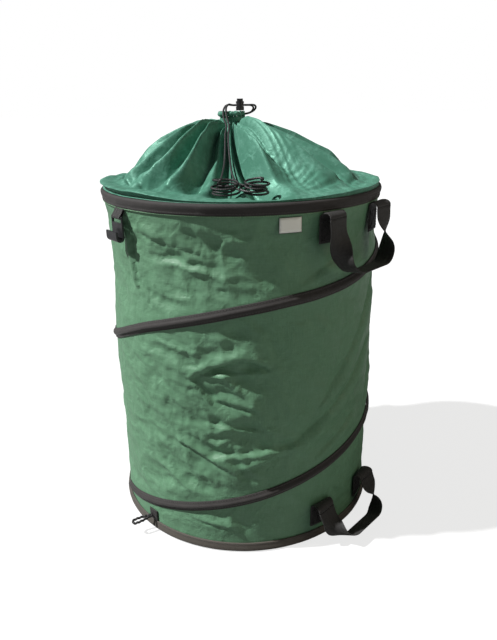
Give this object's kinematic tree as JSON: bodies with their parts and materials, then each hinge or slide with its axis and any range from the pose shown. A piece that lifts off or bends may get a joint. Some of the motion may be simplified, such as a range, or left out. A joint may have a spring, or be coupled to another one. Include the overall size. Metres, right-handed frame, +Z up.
{
  "type": "pop-up garden waste bag",
  "caption": "Round pop-up garden waste bag: cloth drum on wire hoops and a spring spiral, with a drawstring cover, webbing handles and closing hooks.",
  "frame": {"origin": "middle of the base, on the ground", "axes": "+Z up along the drum's axis, -Y the front as pictured, +X to the right"},
  "size_m": [0.4624, 0.4494, 0.6794],
  "materials": {
    "cover_nylon": "thin glossy nylon with fine wrinkles",
    "body_cloth": "coated woven cloth, satin",
    "binding_tape": "woven polyester tape, matt",
    "webbing": "woven polyester webbing, matt",
    "spring_steel": "bare spring wire",
    "black_plastic": "moulded plastic, satin",
    "cord": "braided polyester cord",
    "label_cloth": "woven satin label, bare"
  },
  "bodies": {
    "base": {"base_panel": "body_cloth", "base_hoop_wire": "spring_steel", "base_hoop_ferrule": "spring_steel", "base_binding": "binding_tape", "body_wall": "body_cloth", "spiral_wire": "spring_steel", "spiral_casing": "binding_tape", "tipping_handle_tab_front": "webbing", "tipping_handle_tab_rear": "webbing", "elastic_tab_left": "webbing", "elastic_tab_right": "webbing"},
    "hoop": {"top_hoop_wire": "spring_steel", "top_hoop_ferrule": "spring_steel", "top_binding": "binding_tape", "drawstring_cover": "cover_nylon", "cover_hem": "cover_nylon", "drawstring_in_hem": "cord", "label_patch": "label_cloth", "hook_strap_left": "webbing", "hook_strap_right": "webbing", "drawstring_tail_front": "cord", "drawstring_tail_rear": "cord", "drawstring_heap_front": "cord", "drawstring_heap_rear": "cord", "drawstring_knot_front": "cord", "drawstring_knot_rear": "cord", "carry_handle_right_tab_front": "webbing", "carry_handle_right_tab_rear": "webbing", "carry_handle_left_tab_front": "webbing", "carry_handle_left_tab_rear": "webbing"},
    "carry_handle_right": {"carry_handle_right_loop": "webbing"},
    "carry_handle_left": {"carry_handle_left_loop": "webbing"},
    "tipping_handle": {"tipping_handle_loop": "webbing"},
    "closing_hook_left": {"closing_hook_left": "black_plastic"},
    "closing_hook_right": {"closing_hook_right": "black_plastic"},
    "elastic_loop_left": {"elastic_loop_left": "cord"},
    "elastic_loop_right": {"elastic_loop_right": "cord"},
    "cord_lock": {"cord_lock_barrel": "black_plastic", "cord_lock_spring": "spring_steel"},
    "cord_lock_plunger": {"cord_lock_plunger": "black_plastic"}
  },
  "joints": [
    {"name": "collapse", "type": "slide", "parent": "base", "child": "hoop", "axis": [0, 0, 1], "range_m": [-0.44, 0], "stiffness_N_per_m": 50, "springref_m": 0.25, "deforming": ["body_wall", "spiral_wire", "spiral_casing", "carry_handle_right_tab_front", "carry_handle_right_tab_rear", "carry_handle_right_loop"]},
    {"name": "carry_handle_right_swing", "type": "hinge", "parent": "hoop", "child": "carry_handle_right", "pos_m": [0.17027, -0.15602, 0.5278], "axis": [0.6756, 0.7373, 0], "range_deg": [-150, 0]},
    {"name": "carry_handle_left_swing", "type": "hinge", "parent": "hoop", "child": "carry_handle_left", "pos_m": [-0.17027, 0.15602, 0.5278], "axis": [-0.6756, -0.7373, 0], "range_deg": [-150, 0]},
    {"name": "tipping_handle_swing", "type": "hinge", "parent": "base", "child": "tipping_handle", "pos_m": [0.1689, -0.1575, 0.062], "axis": [0.682, 0.7314, 0], "range_deg": [-130, 0]},
    {"name": "closing_hook_left_swing", "type": "hinge", "parent": "hoop", "child": "closing_hook_left", "pos_m": [-0.1775, -0.14119, 0.5235], "axis": [0.6225, -0.7826, 0], "range_deg": [-100, 0]},
    {"name": "closing_hook_right_swing", "type": "hinge", "parent": "hoop", "child": "closing_hook_right", "pos_m": [0.1775, 0.14119, 0.5235], "axis": [-0.6225, 0.7826, 0], "range_deg": [-100, 0]},
    {"name": "elastic_loop_left_bend", "type": "hinge", "parent": "base", "child": "elastic_loop_left", "pos_m": [-0.15917, -0.15917, 0.0253], "axis": [0.7071, -0.7071, 0], "range_deg": [-80, 20], "stiffness_Nm_per_rad": 0.01},
    {"name": "elastic_loop_right_bend", "type": "hinge", "parent": "base", "child": "elastic_loop_right", "pos_m": [0.15917, 0.15917, 0.0253], "axis": [-0.7071, 0.7071, 0], "range_deg": [-80, 20], "stiffness_Nm_per_rad": 0.01},
    {"name": "cord_lock_slide", "type": "slide", "parent": "hoop", "child": "cord_lock", "axis": [1, 0, 0], "range_m": [-0.005, 0.005]},
    {"name": "cord_lock_press", "type": "slide", "parent": "cord_lock", "child": "cord_lock_plunger", "axis": [0, 0, 1], "range_m": [-0.0018, 0], "stiffness_N_per_m": 300, "springref_m": 0.002, "deforming": ["cord_lock_spring"]}
  ]
}
